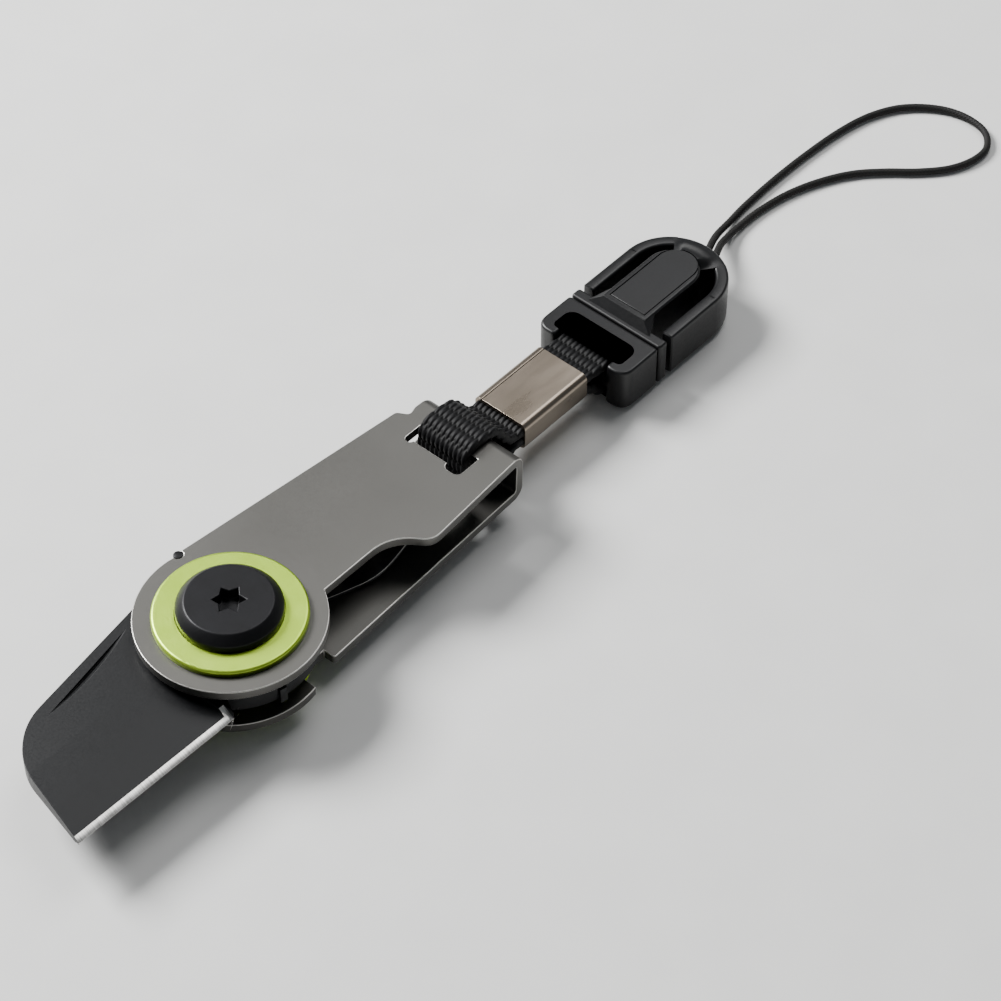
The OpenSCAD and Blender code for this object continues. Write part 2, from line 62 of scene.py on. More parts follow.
# %% [markdown]
# ## The camera
# A long lens from some distance keeps the small knife free of distortion. It looks down from the
# blade's side, so the knife runs from the lower left to the upper right. The cord's spread was
# judged from this view.

# %% camera
view_azimuth = math.radians(-48.51)
view_elevation = math.radians(47.84)
view_distance = 299.7 * MM
looks_at = Vector((26.77, -9.03, 7.95)) * MM
lens_mm = 115.1
sensor_mm = 36
nearest_seen = 10 * MM
towards_camera = Vector((math.sin(view_azimuth) * math.cos(view_elevation),
                         -math.cos(view_azimuth) * math.cos(view_elevation),
                         math.sin(view_elevation)))
camera = bpy.data.objects.new("camera", bpy.data.cameras.new("camera"))
bpy.context.scene.collection.objects.link(camera)
camera.location = looks_at + towards_camera * view_distance
camera.rotation_euler = towards_camera.to_track_quat("Z", "Y").to_euler()
camera.data.lens = lens_mm
camera.data.sensor_width = sensor_mm
camera.data.clip_start = nearest_seen
bpy.context.scene.camera = camera
print("camera stands", round(view_distance / MM), "mm away")

# %% [markdown]
# ## Small helpers for materials
# A colour picked from a real thing is written as sRGB hex, but shaders count in linear light, so
# one function converts it. Another adds a node, sets its values and links its inputs, which keeps
# each material short enough to read. Two more carry the steps that most finishes share: a colour
# that drifts between two tones, and a fine relief that also changes how rough the surface is.


# %% colour and node helpers
def hex_colour(text):
    """sRGB hex to the linear colour that shaders use."""
    parts = [int(text[i:i + 2], 16) / 255 for i in (1, 3, 5)]
    return [p / 12.92 if p <= 0.04045 else ((p + 0.055) / 1.055) ** 2.4 for p in parts] + [1]


def add_node(tree, kind, settings=None, inputs=None):
    """Adds a node. An input that is given a socket is linked, and any other value is set."""
    node = tree.nodes.new(kind)
    for name, value in (settings or {}).items():
        setattr(node, name, value)
    for key, value in (inputs or {}).items():
        if isinstance(value, bpy.types.NodeSocket):
            tree.links.new(value, node.inputs[key])
        else:
            node.inputs[key].default_value = value
    return node


def start_material(name, colour, metallic, roughness):
    """A material with one Principled shader, and the object's own coordinates in metres."""
    material = bpy.data.materials.new(name)
    material.use_nodes = True
    tree = material.node_tree
    shader = tree.nodes["Principled BSDF"]
    shader.inputs["Base Color"].default_value = hex_colour(colour)
    shader.inputs["Metallic"].default_value = metallic
    shader.inputs["Roughness"].default_value = roughness
    place = add_node(tree, "ShaderNodeTexCoord").outputs["Object"]
    return material, tree, shader, place


# A noise keeps mostly to the middle of its range, so patterns are read between these two values.
PATTERN_LOW, PATTERN_HIGH = 0.3, 0.7


def noise_scale(size_mm):
    """The scale at which a noise texture's blotches are about size_mm across."""
    return 0.5 / (size_mm * MM)


def two_tones(tree, shader, pattern, dark, light):
    """Colours the shader between two tones, as the pattern goes."""
    share = add_node(tree, "ShaderNodeMapRange", None,
                     {"Value": pattern, "From Min": PATTERN_LOW, "From Max": PATTERN_HIGH,
                      "To Min": 0, "To Max": 1})
    mix = add_node(tree, "ShaderNodeMix", {"data_type": "RGBA"},
                   {"Factor": share.outputs["Result"], 6: hex_colour(dark), 7: hex_colour(light)})
    tree.links.new(mix.outputs[2], shader.inputs["Base Color"])


def fine_relief(tree, shader, height, depth_mm, shine=None, rough=None):
    """Bump of a real depth. The shine pattern, if any, sets the roughness between two values."""
    bump = add_node(tree, "ShaderNodeBump", None,
                    {"Height": height, "Strength": 1.0, "Distance": depth_mm * MM})
    tree.links.new(bump.outputs["Normal"], shader.inputs["Normal"])
    if rough:
        spread = add_node(tree, "ShaderNodeMapRange", None,
                          {"Value": shine, "From Min": PATTERN_LOW, "From Max": PATTERN_HIGH,
                           "To Min": rough[0], "To Max": rough[1]})
        tree.links.new(spread.outputs["Result"], shader.inputs["Roughness"])


def gritty_finish(name, tones, metallic, rough, spread, cloud_mm, grit_mm, depth_mm=0.002,
                  base=None, cloud_detail=3):
    """A finish whose colour drifts in clouds and whose fine grit breaks up the shine.

    Its roughness is rough, give or take spread. The clouds and the grit have real sizes.
    """
    dark, light = tones
    material, tree, shader, place = start_material(name, base or light, metallic, rough)
    cloud = add_node(tree, "ShaderNodeTexNoise", None,
                     {"Vector": place, "Scale": noise_scale(cloud_mm), "Detail": cloud_detail})
    two_tones(tree, shader, cloud.outputs["Fac"], dark, light)
    grit = add_node(tree, "ShaderNodeTexNoise", None,
                    {"Vector": place, "Scale": noise_scale(grit_mm), "Detail": 2}).outputs["Fac"]
    below, above = spread
    fine_relief(tree, shader, grit, depth_mm, grit, (rough - below, rough + above))
    return material, shader


# %% [markdown]
# ## Metals
# The handle is stainless steel sheet, bead-blasted: fine grit leaves an even grey that spreads
# highlights. The pits are a few hundredths of a millimetre wide, and are drawn a little coarser so
# that they show. The sheet's cut edges get a lighter steel of their own, a painted highlight.

# %% bead-blasted steel and its painted edge highlight
def blasted_steel(name, dark, light, rough):
    return gritty_finish(name, (dark, light), 1.0, rough, (0.03, 0.04), 8.0, 0.08,
                         cloud_detail=2)[0]


handle_steel = blasted_steel("bead_blasted_steel", "#5B5A57", "#62615E", 0.44)
# Painted highlight: a lighter steel for the bevelled edges, so that they read as bright lines.
painted_edge_highlight = blasted_steel("painted_edge_highlight_steel", "#A9A7A2", "#C6C4BF", 0.3)
print("steel ready")

# %% [markdown]
# The blade is steel under a thin black coating, which is a satin paint to the eye: dark, with a
# broad grey sheen. Grinding the edge takes the coating off, so the bevel is bare steel with
# grinding lines across it, which come from a noise stretched along them. The screw and the spring
# are black-oxidised steel, whose thin layer lets some of the metal's shine through.


# %% black coating, ground bevel, black oxide
def black_coating():
    material, shader = gritty_finish("black_blade_coating", ("#060709", "#090A0C"), 0.0, 0.4,
                                     (0.04, 0.06), 2.0, 0.1, base="#07080A")
    shader.inputs["Specular IOR Level"].default_value = 0.28
    return material


def ground_steel():
    material, tree, shader, place = start_material("ground_bevel_steel", "#E2E0DB", 1.0, 0.34)
    lines = add_node(tree, "ShaderNodeMapping", None, {"Vector": place, "Scale": (1, 0.08, 0.08)})
    scratch = add_node(tree, "ShaderNodeTexNoise", None,
                       {"Vector": lines.outputs["Vector"], "Scale": noise_scale(0.07),
                        "Detail": 2}).outputs["Fac"]
    two_tones(tree, shader, scratch, "#C4C2BD", "#F6F4F0")
    fine_relief(tree, shader, scratch, 0.002, scratch, (0.3, 0.42))
    return material


def black_oxide(name, light, rough):
    return gritty_finish(name, ("#0E0E10", light), 0.6, rough, (0.05, 0.05), 1.2, 0.08)[0]


blade_coating = black_coating()
bevel_steel = ground_steel()
screw_black = black_oxide("black_oxide_screw", "#131316", 0.42)
leaf_black = black_oxide("blackened_spring_steel", "#4A4A4C", 0.36)
print("blacks ready")

# %% [markdown]
# The washers are anodised aluminium. Anodising dyes a clear oxide layer over bright metal, so the
# colour is bright and metallic and keeps a soft shine. The clip is nickel plate, warm and satin,
# and handling has smeared it, so its clouds are stretched and turned a little.


# %% anodised washer, nickel clip
def anodised_green():
    return gritty_finish("lime_anodised_aluminium", ("#ADCE44", "#B6D64E"), 1.0, 0.4,
                         (0.06, 0.06), 1.0, 0.08, depth_mm=0.0025, base="#B4D44C")[0]


def satin_nickel():
    material, tree, shader, place = start_material("satin_nickel_plate", "#8E8478", 1.0, 0.28)
    smear = add_node(tree, "ShaderNodeMapping", None,
                     {"Vector": place, "Rotation": (0, 0, 0.5), "Scale": (0.4, 1.6, 1)})
    cloud = add_node(tree, "ShaderNodeTexNoise", None,
                     {"Vector": smear.outputs["Vector"], "Scale": noise_scale(1.6),
                      "Detail": 3}).outputs["Fac"]
    dents = add_node(tree, "ShaderNodeTexNoise", None,
                     {"Vector": place, "Scale": noise_scale(0.5), "Detail": 2}).outputs["Fac"]
    two_tones(tree, shader, cloud, "#7E7468", "#8C8276")
    fine_relief(tree, shader, dents, 0.002, cloud, (0.26, 0.34))
    return material


washer_green = anodised_green()
clip_nickel = satin_nickel()
print("washer and clip ready")

# %% [markdown]
# ## Plastic and textile
# The buckle is moulded acetal, a slippery black plastic with a satin skin from the mould's fine
# texture. The webbing and the cord are polyester yarn: black, and soft in sheen. Their meshes carry
# a number, high on top of each thread and low in the grooves, that paints shade into the yarn's
# colour: darker in the grooves and lighter on the crests.


# %% acetal, polyester
def moulded_acetal(name, light, rough):
    material, shader = gritty_finish(name, ("#09090A", light), 0.0, rough, (0.04, 0.05), 3.0, 0.12)
    shader.inputs["Specular IOR Level"].default_value = 0.4
    shader.inputs["IOR"].default_value = 1.48
    return material


def polyester(name, dark, light, fibre_mm):
    material, tree, shader, place = start_material(name, light, 0.0, 0.6)
    painted_groove_shade = add_node(tree, "ShaderNodeAttribute", {"attribute_name": "painted_groove_shade"}).outputs["Fac"]
    fibre = add_node(tree, "ShaderNodeTexNoise", None,
                     {"Vector": place, "Scale": noise_scale(fibre_mm), "Detail": 3})
    # Painted shade: the yarn's colour is darker in the grooves and lighter on the crests.
    two_tones(tree, shader, painted_groove_shade, dark, light)
    fine_relief(tree, shader, fibre.outputs["Fac"], 0.02)
    shader.inputs["Specular IOR Level"].default_value = 0.22
    shader.inputs["Sheen Weight"].default_value = 0.02
    shader.inputs["Sheen Roughness"].default_value = 0.4
    return material


buckle_plastic = moulded_acetal("black_moulded_acetal", "#0C0C0E", 0.38)
panel_plastic = moulded_acetal("black_panel_acetal", "#101012", 0.44)
strap_polyester = polyester("black_webbing_polyester", "#010101", "#08080A", 0.08)
cord_polyester = polyester("black_cord_polyester", "#020202", "#1E1D1C", 0.06)
print("plastics and textiles ready")

# %% [markdown]
# ## Finishing the hard pieces
# A bevel modifier rounds the edges that a tool would have broken, because a perfectly sharp edge
# never catches light. The modifiers weld a mesh's seams, join the triangles of each flat face into
# one, cut the bevel, which can carry a second, lighter material as a painted highlight, and shade
# the flat faces flat. The thin washers keep their edges, because a bevel there nibbles at their
# many-sided rims. The handle's weld is wider, so that it closes a small step between the two plates
# at the end wall.


# %% finish a node
def shade_smooth(mesh):
    for face in mesh.polygons:
        face.use_smooth = True


flat_within = math.radians(0.6)
edge_above = math.radians(32)


def finish_node(name, material, edge_mm, edge_highlight_material=None, weld_mm=0.01):
    """Gives a node its material and softens its edges by edge_mm, or not at all for 0."""
    node = nodes[name]
    node.data.materials.clear()
    node.data.materials.append(material)
    if edge_highlight_material:
        node.data.materials.append(edge_highlight_material)
    weld = node.modifiers.new("weld", "WELD")
    weld.merge_threshold = weld_mm * MM
    join = node.modifiers.new("join flats", "DECIMATE")
    join.decimate_type = "DISSOLVE"
    join.angle_limit = flat_within
    if edge_mm:
        bevel = node.modifiers.new("bevel", "BEVEL")
        bevel.width = edge_mm * MM
        bevel.segments = 2
        bevel.limit_method = "ANGLE"
        bevel.angle_limit = edge_above
        bevel.use_clamp_overlap = False
        # Painted highlight: if a lighter edge material is given, the bevel's faces take it.
        bevel.material = 1 if edge_highlight_material else -1
    even = node.modifiers.new("even shading", "WEIGHTED_NORMAL")
    even.keep_sharp = True
    shade_smooth(node.data)


finish_node("handle_frame", handle_steel, 0.08, painted_edge_highlight, weld_mm=0.075)
finish_node("blade", blade_coating, 0.05)
finish_node("pivot_screw", screw_black, 0.12)
finish_node("pivot_nut", screw_black, 0.12)
for ring_name in ("washer_upper", "washer_lower", "bearing_upper", "bearing_lower"):
    finish_node(ring_name, washer_green, 0)
finish_node("stop_pin", screw_black, 0.08)
finish_node("leaf_spring", leaf_black, 0.05, painted_edge_highlight)
finish_node("strap_clip", clip_nickel, 0.04)
finish_node("buckle_panel", panel_plastic, 0.08)
finish_node("cord_knot", cord_polyester, 0.2)
print("finished the hard pieces")

# %% [markdown]
# The ground bevel is part of the blade's own mesh. Its faces lie along the edge and lean more than
# the blade's flats but less than its spine, so they are found by place and direction and given the
# bare steel.

# %% bare steel on the ground bevel
least_lean, most_lean = 0.7, 0.95
faces_edge = -0.35
bevel_side_y = -6.2 * MM
blade_mesh = nodes["blade"].data
blade_mesh.materials.append(bevel_steel)
bevel_faces = 0
for face in blade_mesh.polygons:
    leans = least_lean < abs(face.normal.z) < most_lean
    if leans and face.normal.y < faces_edge and face.center.y < bevel_side_y:
        face.material_index = 1
        bevel_faces += 1
print("bare steel on", bevel_faces, "faces")


# %% [markdown]
# ## The buckle
# A small side-release buckle is moulded plastic with generous round edges. Bevelling such edges on
# a mesh with many small faces fails easily, so the visible buckle is lofted instead: an outline is
# drawn from above, and rings of it, drawn in little by little at the top and the bottom, give the
# rounded edges. Simple lofts are then joined and cut with booleans, as a mould maker would add and
# remove shapes. The manifold solver is used, because the exact one loses the cord half's flange.


# %% outlines and lofts
most_of_side = 0.8


def new_piece(name, data):
    """Puts a mesh or a lamp into the scene under its name."""
    piece = bpy.data.objects.new(name, data)
    bpy.context.scene.collection.objects.link(piece)
    return piece


def round_corners(corners, facets=8):
    """Points of a closed outline. Each corner is (x, y, radius), in metres."""
    points = []
    for i, (x, y, radius) in enumerate(corners):
        here = Vector((x, y))
        before = Vector(corners[i - 1][:2]) - here
        after = Vector(corners[(i + 1) % len(corners)][:2]) - here
        if radius == 0:
            points.append(here)
            continue
        reach = radius / math.tan(before.angle(after) / 2)
        reach = min(reach, most_of_side * before.length, most_of_side * after.length)
        start = here + before.normalized() * reach
        end = here + after.normalized() * reach
        for k in range(facets + 1):
            t = k / facets
            points.append(start.lerp(here, t).lerp(here.lerp(end, t), t))
    return points


def arc(centre, radius, start, end, count=24):
    """Points on an arc, from start to end degrees."""
    turns = [math.radians(start + (end - start) * k / count) for k in range(count + 1)]
    return [Vector(centre) + Vector((math.cos(a), math.sin(a))) * radius for a in turns]


def inset(outline, depth):
    """The outline drawn in by depth. It runs anticlockwise."""
    moved = []
    for i, here in enumerate(outline):
        into = (here - outline[i - 1]).normalized()
        away = (outline[(i + 1) % len(outline)] - here).normalized()
        normal = Vector((-into.y - away.y, into.x + away.x)).normalized()
        lean = max(0.5, normal.dot(Vector((-into.y, into.x))))
        moved.append(here + normal * depth / lean)
    return moved


def loft(name, rings):
    """A closed mesh through equal rings of points, capped at both ends."""
    count = len(rings[0])
    faces = [tuple(reversed(range(count)))]
    for i in range(len(rings) - 1):
        for k in range(count):
            m = (k + 1) % count
            faces.append((i * count + k, i * count + m, (i + 1) * count + m, (i + 1) * count + k))
    faces.append(tuple((len(rings) - 1) * count + k for k in range(count)))
    mesh = bpy.data.meshes.new(name)
    mesh.from_pydata([tuple(p) for ring in rings for p in ring], [], faces)
    shape = bmesh.new()
    shape.from_mesh(mesh)
    bmesh.ops.remove_doubles(shape, verts=shape.verts, dist=0.001 * MM)
    bmesh.ops.recalc_face_normals(shape, faces=shape.faces)
    shape.to_mesh(mesh)
    shape.free()
    return new_piece(name, mesh)


def slab(name, outline, low, high, edge, rounds=5):
    """A slab with rounded edges at its top and bottom."""
    turns = [math.pi / 2 * k / rounds for k in range(rounds + 1)]
    rings = [[(*p, low + edge * (1 - math.sin(a)))
              for p in inset(outline, edge * (1 - math.cos(a)))] for a in reversed(turns)]
    rings += [[(*p, high - edge * (1 - math.sin(a)))
               for p in inset(outline, edge * (1 - math.cos(a)))] for a in turns]
    return loft(name, rings)


def combine(piece, others, operation):
    """Adds the others to the piece, or cuts them from it, and removes them."""
    for other in others:
        step = piece.modifiers.new("combine", "BOOLEAN")
        step.operation = operation
        step.solver = "MANIFOLD"
        step.object = other
    bpy.context.view_layer.update()
    shape = piece.evaluated_get(bpy.context.evaluated_depsgraph_get())
    mesh = bpy.data.meshes.new_from_object(shape)
    piece.modifiers.clear()
    piece.data = mesh
    for other in others:
        bpy.data.objects.remove(other)


def finish_moulding(piece, material, angle=30):
    """Smooth round edges, crisp sharp ones, and the plastic."""
    piece.data.materials.clear()
    piece.data.materials.append(material)
    shade_smooth(piece.data)
    for face in piece.data.polygons:
        face.material_index = 0
    piece.data.set_sharp_from_angle(angle=math.radians(angle))
    even = piece.modifiers.new("even shading", "WEIGHTED_NORMAL")
    even.keep_sharp = True


def block(name, low, high):
    """A plain cutter."""
    outline = [Vector(p) for p in ((low[0], low[1]), (high[0], low[1]), (high[0], high[1]),
                                   (low[0], high[1]))]
    return loft(name, [[(*p, z) for p in outline] for z in (low[2], high[2])])


def rod(name, start, end, radius, sides=32):
    """A round bar from start to end."""
    along = (Vector(end) - Vector(start)).normalized()
    side = along.orthogonal().normalized()
    over = along.cross(side)
    turns = [2 * math.pi * k / sides for k in range(sides)]
    return loft(name, [[Vector(p) + (side * math.cos(a) + over * math.sin(a)) * radius
                        for a in turns] for p in (start, end)])


def wedge(name, points):
    """The smallest convex solid round a few points."""
    mesh = bpy.data.meshes.new(name)
    shape = bmesh.new()
    for point in points:
        shape.verts.new(point)
    bmesh.ops.convex_hull(shape, input=shape.verts)
    bmesh.ops.recalc_face_normals(shape, faces=shape.faces)
    shape.to_mesh(mesh)
    shape.free()
    return new_piece(name, mesh)


# %% the buckle's sizes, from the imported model
house_lo, house_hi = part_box("buckle_housing")
loop_lo, loop_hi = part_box("buckle_loop")
arm_lo, arm_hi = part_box("release_arm_left")
panel_lo, panel_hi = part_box("buckle_panel")
buckle_y = (house_lo.y + house_hi.y) / 2
buckle_half = (house_hi.y - house_lo.y) / 2
nose_x = house_hi.x - buckle_half
rim_lo, rim_hi = loop_lo.z, loop_hi.z
rim_t = arm_hi.y - arm_lo.y
seam = 0.15 * MM
flange_len = 1.3 * MM
tongue_half = 2.85 * MM
channel_end = 36
edge = 0.4 * MM
print("buckle is", round(2 * buckle_half / MM, 1), "mm wide")


# %% strap half of the buckle
bar_x = 49.6 * MM
bar_z = (rim_lo + rim_hi) / 2
bar_r = 0.95 * MM
slot_half = 4.1 * MM
slot_end = 52.23 * MM
prong_half = 1.6 * MM
prong_half_t = 1 * MM
joint_overlap = 0.5 * MM
bar_overlap = 0.3 * MM
joint_x = house_lo.x - seam
hook_half = 3.35 * MM
hook_end = loop_lo.x + 1.25 * MM
loop_edge = 0.32 * MM
upper_side = [
    (joint_x, buckle_half, 0.45 * MM), (loop_lo.x, buckle_half, 1.6 * MM),
    (loop_lo.x, hook_half, 0.5 * MM), (hook_end, hook_half, 0.4 * MM),
    (hook_end, slot_half, 0.3 * MM), (slot_end, slot_half, 1 * MM)]
lower_side = [(x, -y, radius) for x, y, radius in reversed(upper_side)]
loop_outline = round_corners([(x, buckle_y + y, radius)
                              for x, y, radius in upper_side + lower_side])
strap_half = slab("buckle_strap_half", loop_outline, rim_lo, rim_hi, loop_edge)
bar = rod("bar", (bar_x, buckle_y - slot_half - bar_overlap, bar_z),
          (bar_x, buckle_y + slot_half + bar_overlap, bar_z), bar_r)
prong_outline = round_corners([
    (joint_x - joint_overlap, buckle_y - prong_half, 0),
    (loop_hi.x, buckle_y - prong_half, 0.7 * MM), (loop_hi.x, buckle_y + prong_half, 0.7 * MM),
    (joint_x - joint_overlap, buckle_y + prong_half, 0)])
prong = slab("prong", prong_outline, bar_z - prong_half_t, bar_z + prong_half_t, 0.25 * MM)
nub = block("nub", (slot_end - 0.25 * MM, buckle_y + 1.2 * MM, bar_z),
            (slot_end + 0.3 * MM, buckle_y + 1.5 * MM, rim_hi - 0.8 * MM))
combine(strap_half, [bar, prong, nub], "UNION")
finish_moulding(strap_half, buckle_plastic)
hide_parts("buckle_loop")
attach(strap_half, "buckle_strap_half")
print("strap half has", len(strap_half.data.polygons), "faces")

# %% [markdown]
# The cord half is a flange, a raised tongue with an arched end, and a domed nose. The dome is a
# profile turned about the arch's centre, only as far round as the side channels allow.


# %% the rim's bar
def rim_bar(name, side, stations):
    """A rounded bar along the rim. Each station is (x, degrees), straight on at 90 degrees."""
    tip = 0.12 * MM
    round_r = 0.38 * MM
    rings = []
    for i, (x, degrees) in enumerate([stations[0]] + stations):
        a = math.radians(side * degrees)
        out = Vector((math.cos(a), math.sin(a)))
        small = 0 if i else tip
        centre = Vector((x + (tip if i == 1 else 0), buckle_y)) + out * (buckle_half - rim_t / 2)
        half = rim_t / 2 - small
        low, high = rim_lo + small, rim_hi - small
        section = round_corners([(-half, low, round_r), (half, low, round_r),
                                 (half, high, round_r), (-half, high, round_r)], 4)
        rings.append([(*(centre + out * q.x), q.y) for q in section])
    return loft(name, rings)


# %% cord half of the buckle
crown_steps = 8
fade_degrees = 16
eighths = (0.39, 0.79, 1.18, 1.57)


def smooth_step(t):
    return t * t * (3 - 2 * t)


def nose_ring(degrees):
    """The nose's outline in one plane through the arch's centre."""
    outer = buckle_half
    inner = tongue_half - 0.6 * MM
    crown = [inner + (outer - edge - inner) * k / crown_steps for k in range(crown_steps + 1)]
    fade = min(1.0, (channel_end - abs(degrees)) / fade_degrees)
    drop = (house_hi.z - 0.01 * MM - rim_hi) * smooth_step(fade)
    profile = []
    for r in crown:
        t = max(0.0, (r - tongue_half) / (outer - edge - tongue_half))
        profile.append((r, rim_hi + drop * (1 - smooth_step(t))))
    profile += [(outer - edge * (1 - math.sin(a)), rim_hi - edge * (1 - math.cos(a)))
                for a in eighths]
    profile += [(outer - edge * (1 - math.cos(a)), rim_lo + edge * (1 - math.sin(a)))
                for a in (0,) + eighths]
    profile.append((inner, rim_lo))
    a = math.radians(degrees)
    return [(nose_x + r * math.cos(a), buckle_y + r * math.sin(a), z) for r, z in profile]


flange_outline = round_corners([
    (house_lo.x, house_lo.y, 0.4 * MM), (house_lo.x + flange_len, house_lo.y, 0.4 * MM),
    (house_lo.x + flange_len, house_hi.y, 0.4 * MM), (house_lo.x, house_hi.y, 0.4 * MM)])
cord_half = slab("buckle_cord_half", flange_outline, rim_lo, rim_hi, 0.3 * MM)
tongue_x = panel_lo.x - 0.65 * MM
tongue_outline = [Vector((tongue_x, buckle_y - tongue_half))]
tongue_outline += arc((nose_x, buckle_y), tongue_half, -90, 90)
tongue_outline.append(Vector((tongue_x, buckle_y + tongue_half)))
tongue = slab("tongue", tongue_outline, house_lo.z, house_hi.z, 0.3 * MM)
nose = loft("nose", [nose_ring(-channel_end + 2 * channel_end * k / 24) for k in range(25)])
foot_x = house_lo.x + 0.5 * MM
neck_x = tongue_x + 1.9 * MM
side_y = tongue_half - 0.25 * MM
ramp = wedge("ramp", [(x, buckle_y + side * y, z) for side in (-1, 1) for x, y, z in (
    (foot_x, tongue_half + 1.2 * MM, rim_lo + 0.1 * MM),
    (foot_x, tongue_half + 1.2 * MM, rim_hi - 0.04 * MM),
    (neck_x, side_y, rim_lo + 0.1 * MM), (neck_x, side_y, house_hi.z - 0.02 * MM),
    (tongue_x, side_y, house_hi.z - 0.02 * MM))])
rims = [rim_bar("rim", side, [(nose_x, 90 - 3 * k) for k in range(20)]) for side in (1, -1)]
combine(cord_half, [tongue, nose, ramp] + rims, "UNION")
panel_gap = 0.09 * MM
recess_half = (panel_hi.y - panel_lo.y) / 2 + panel_gap
arch_x = panel_hi.x - (panel_hi.y - panel_lo.y) / 2
recess_outline = [Vector((panel_lo.x - panel_gap, buckle_y - recess_half))]
recess_outline += arc((arch_x, buckle_y), recess_half, -90, 90)
recess_outline.append(Vector((panel_lo.x - panel_gap, buckle_y + recess_half)))
cut_past = 1 * MM
recess = loft("recess", [[(*p, z) for p in recess_outline]
                         for z in (panel_lo.z, house_hi.z + cut_past)])
socket_half = prong_half + 0.05 * MM
socket_half_t = 1.05 * MM
socket = block("socket", (house_lo.x - cut_past, buckle_y - socket_half, bar_z - socket_half_t),
               (loop_hi.x + 0.3 * MM, buckle_y + socket_half, bar_z + socket_half_t))
hole_r = 0.47 * MM
holes = [rod("cord hole", (house_hi.x - 3 * MM, buckle_y + dy, bar_z),
             (house_hi.x + 2 * MM, buckle_y + dy, bar_z), hole_r)
         for dy in (-0.5 * MM, 0.5 * MM)]
combine(cord_half, [recess, socket] + holes, "DIFFERENCE")
finish_moulding(cord_half, buckle_plastic)
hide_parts("buckle_housing")
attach(cord_half, "buckle_cord_half")
print("cord half has", len(cord_half.data.polygons), "faces")

# %% [markdown]
# The release arms are the free ends of the rim. On the real buckle they bend at their roots, by
# only a few degrees, so each arm is a stiff bar of the rim's own section that turns with its body.
# Its root reaches a little way into the rim so that no gap opens.

# %% release arms
root_x = nose_x + 0.25 * MM
arm_steps = 12
for side, body, name in ((1, "arm_left", "release_arm_left"),
                         (-1, "arm_right", "release_arm_right")):
    arm = rim_bar("rim_" + body, side, [(arm_lo.x + (root_x - arm_lo.x) * k / arm_steps, 90)
                                        for k in range(arm_steps + 1)])
    finish_moulding(arm, buckle_plastic)
    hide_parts(name)
    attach(arm, body)
print("arms swept")

# %% [markdown]
# ## The webbing
# Webbing is woven flat, with thick weft ribs across it. One closed band runs round the end bar of
# the handle, through the clip and round the buckle's bar. It is drawn as a path seen from the side,
# with rounded corners, and every point of the band is pushed out by the weave: a rib along the path
# and a row of small bumps across it.

# %% even spacing
def even_points(points, step, closed=False):
    """The same line with its points about one step apart."""
    line = points + [points[0]] if closed else points
    lengths = [0.0]
    for a, b in zip(line, line[1:]):
        lengths.append(lengths[-1] + (b - a).length)
    count = max(2, round(lengths[-1] / step))
    out = []
    j = 0
    for i in range(count if closed else count + 1):
        want = lengths[-1] * i / count
        while j < len(line) - 2 and lengths[j + 1] < want:
            j += 1
        span = lengths[j + 1] - lengths[j]
        out.append(line[j].lerp(line[j + 1], (want - lengths[j]) / span if span else 0))
    return out


# %% the webbing's path
web_t = 1.1 * MM
web_w = 6.2 * MM
web_y = -0.1 * MM
anchor_lo, anchor_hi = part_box("webbing_anchor")
strap_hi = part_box("webbing_strap")[1]
clip_lo, clip_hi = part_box("strap_clip")
half_t = web_t / 2
strap_mid = (clip_lo.z + clip_hi.z) / 2
bar_wrap = (strap_hi.x - bar_x) - half_t
layer = half_t + 0.03 * MM
web_corners = [
    (anchor_lo.x + half_t, anchor_hi.z - half_t, 1.5 * MM),
    (32.9 * MM, anchor_hi.z - half_t - 0.2 * MM, 2.4 * MM),
    (clip_lo.x - 1.6 * MM, strap_mid + layer, 2 * MM),
    (clip_hi.x + 0.2 * MM, strap_mid + layer, 2 * MM),
    (bar_x + 0.2 * MM, bar_z + bar_wrap, 1.6 * MM),
    (bar_x + bar_wrap, bar_z + bar_wrap, bar_wrap),
    (bar_x + bar_wrap, bar_z - bar_wrap, bar_wrap),
    (bar_x - 0.6 * MM, bar_z - bar_wrap, 1.6 * MM),
    (clip_hi.x + 0.2 * MM, strap_mid - layer, 2 * MM),
    (clip_lo.x - 1.6 * MM, strap_mid - layer, 2 * MM),
    (33.4 * MM, anchor_lo.z + half_t, 1.2 * MM),
    (anchor_lo.x + half_t, anchor_lo.z + half_t, 1.2 * MM)]


# %% weave the band
rib_pitch = 1.4 * MM
bumps_across = 11
step = 0.1 * MM
across_count = 88
thinnest = 0.52
# Painted groove shade: the share in the grooves, and how much more the crests get.
groove_shade_base, groove_shade_swing = 0.25, 0.5


def store_groove_shade(mesh, groove_shades):
    """Keeps one number for each point, which the yarn's material reads as painted groove shade."""
    layer = mesh.attributes.new("painted_groove_shade", "FLOAT", "POINT")
    layer.data.foreach_set("value", groove_shades)


